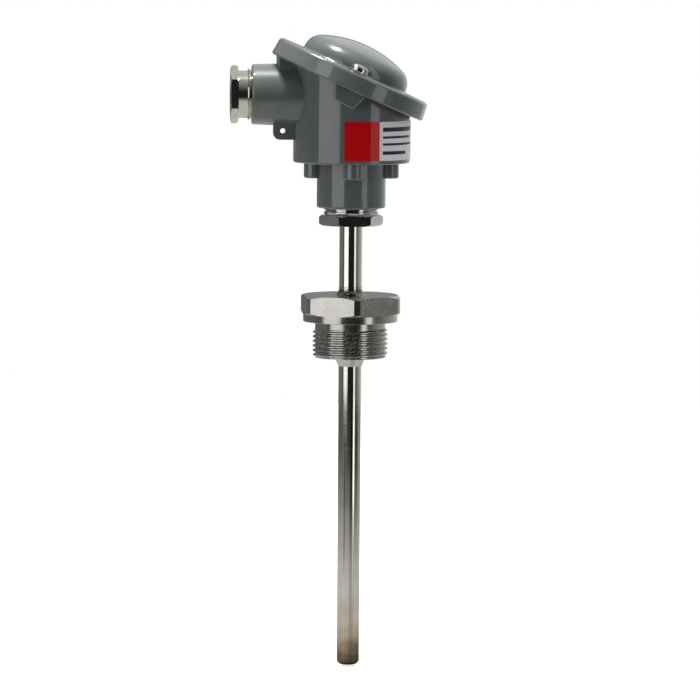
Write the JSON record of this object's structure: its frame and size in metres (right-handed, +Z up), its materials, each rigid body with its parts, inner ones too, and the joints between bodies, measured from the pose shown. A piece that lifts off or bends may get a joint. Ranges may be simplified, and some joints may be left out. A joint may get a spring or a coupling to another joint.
{
  "type": "temperature sensor",
  "caption": "Resistance temperature sensor: cast head with slanted domed cover and gland, thin neck, threaded hexagon connection and a long closed tube.",
  "frame": {"origin": "centre of the sealing face, the underside of the collar above the process thread", "axes": "+Z up the stem towards the head, the cable leaves along -X, the cover is lowest towards +X"},
  "size_m": [0.0862, 0.0722, 0.2784],
  "materials": {
    "head_paint": "grey stoved paint on a casting",
    "gasket_rubber": "moulded soft rubber",
    "screw_steel": "bright zinc-plated steel",
    "label_foil": "printed foil, a red field and a silver-grey field",
    "gland_nickel": "nickel-plated brass",
    "neck_nickel": "turned bright steel",
    "process_steel": "turned and milled stainless steel",
    "tube_steel": "polished stainless tube with a heat tint at its tip",
    "weld_steel": "brushed weld",
    "insert_steel": "plain stainless steel",
    "ceramic": "unglazed white ceramic",
    "clamp_brass": "plain brass",
    "spring_steel": "drawn spring wire",
    "wire_nickel": "bare nickel wire"
  },
  "bodies": {
    "head": {"head_body": "head_paint", "data_label": "label_foil", "gland_washers": "screw_steel", "gland_seal_ring": "gasket_rubber", "neck_fitting": "neck_nickel", "protection_tube": "tube_steel", "tube_end_plug": "tube_steel", "process_connection": "process_steel", "weld_upper": "weld_steel", "weld_lower": "weld_steel", "insert_screws": "screw_steel", "insert_washers": "screw_steel", "insert_spring_front": "spring_steel", "insert_spring_rear": "spring_steel", "earth_screw": "screw_steel"},
    "cover": {"head_cover": "head_paint", "cover_gasket": "gasket_rubber", "cover_washers": "screw_steel"},
    "front_screw": {"cover_screw_front": "screw_steel"},
    "rear_screw": {"cover_screw_rear": "screw_steel"},
    "gland": {"gland_screw": "gland_nickel"},
    "insert": {"insert_plate": "insert_steel", "insert_sheath": "insert_steel", "sensing_element": "ceramic", "wire_insulator": "ceramic", "lead_wires": "wire_nickel", "terminal_block": "ceramic", "terminal_clamps": "clamp_brass"},
    "terminal_1": {"terminal_screw_1": "screw_steel"},
    "terminal_2": {"terminal_screw_2": "screw_steel"},
    "terminal_3": {"terminal_screw_3": "screw_steel"},
    "terminal_4": {"terminal_screw_4": "screw_steel"}
  },
  "joints": [
    {"name": "cover_lift", "type": "slide", "parent": "head", "child": "cover", "axis": [0.4067, 0, 0.9135], "range_m": [0, 0.05]},
    {"name": "cover_screw_front_turn", "type": "hinge", "parent": "cover", "child": "front_screw", "pos_m": [-0.00195, -0.03, 0.1038], "axis": [0.4067, 0, 0.9135], "continuous": true},
    {"name": "cover_screw_rear_turn", "type": "hinge", "parent": "cover", "child": "rear_screw", "pos_m": [-0.00195, 0.03, 0.1038], "axis": [0.4067, 0, 0.9135], "continuous": true},
    {"name": "gland_screw_turn", "type": "hinge", "parent": "head", "child": "gland", "pos_m": [-0.044, 0, 0.0996], "axis": [-1, 0, 0], "continuous": true},
    {"name": "insert_travel", "type": "slide", "parent": "head", "child": "insert", "axis": [0, 0, 1], "range_m": [0, 0.005], "stiffness_N_per_m": 900, "springref_m": -0.006, "deforming": ["insert_spring_front", "insert_spring_rear"]},
    {"name": "terminal_screw_1_turn", "type": "hinge", "parent": "insert", "child": "terminal_1", "pos_m": [-0.0094, -0.0043, 0.0881], "axis": [0, 0, 1], "continuous": true},
    {"name": "terminal_screw_2_turn", "type": "hinge", "parent": "insert", "child": "terminal_2", "pos_m": [-0.0094, 0.0043, 0.0881], "axis": [0, 0, 1], "continuous": true},
    {"name": "terminal_screw_3_turn", "type": "hinge", "parent": "insert", "child": "terminal_3", "pos_m": [0.0094, -0.0043, 0.0881], "axis": [0, 0, 1], "continuous": true},
    {"name": "terminal_screw_4_turn", "type": "hinge", "parent": "insert", "child": "terminal_4", "pos_m": [0.0094, 0.0043, 0.0881], "axis": [0, 0, 1], "continuous": true}
  ]
}
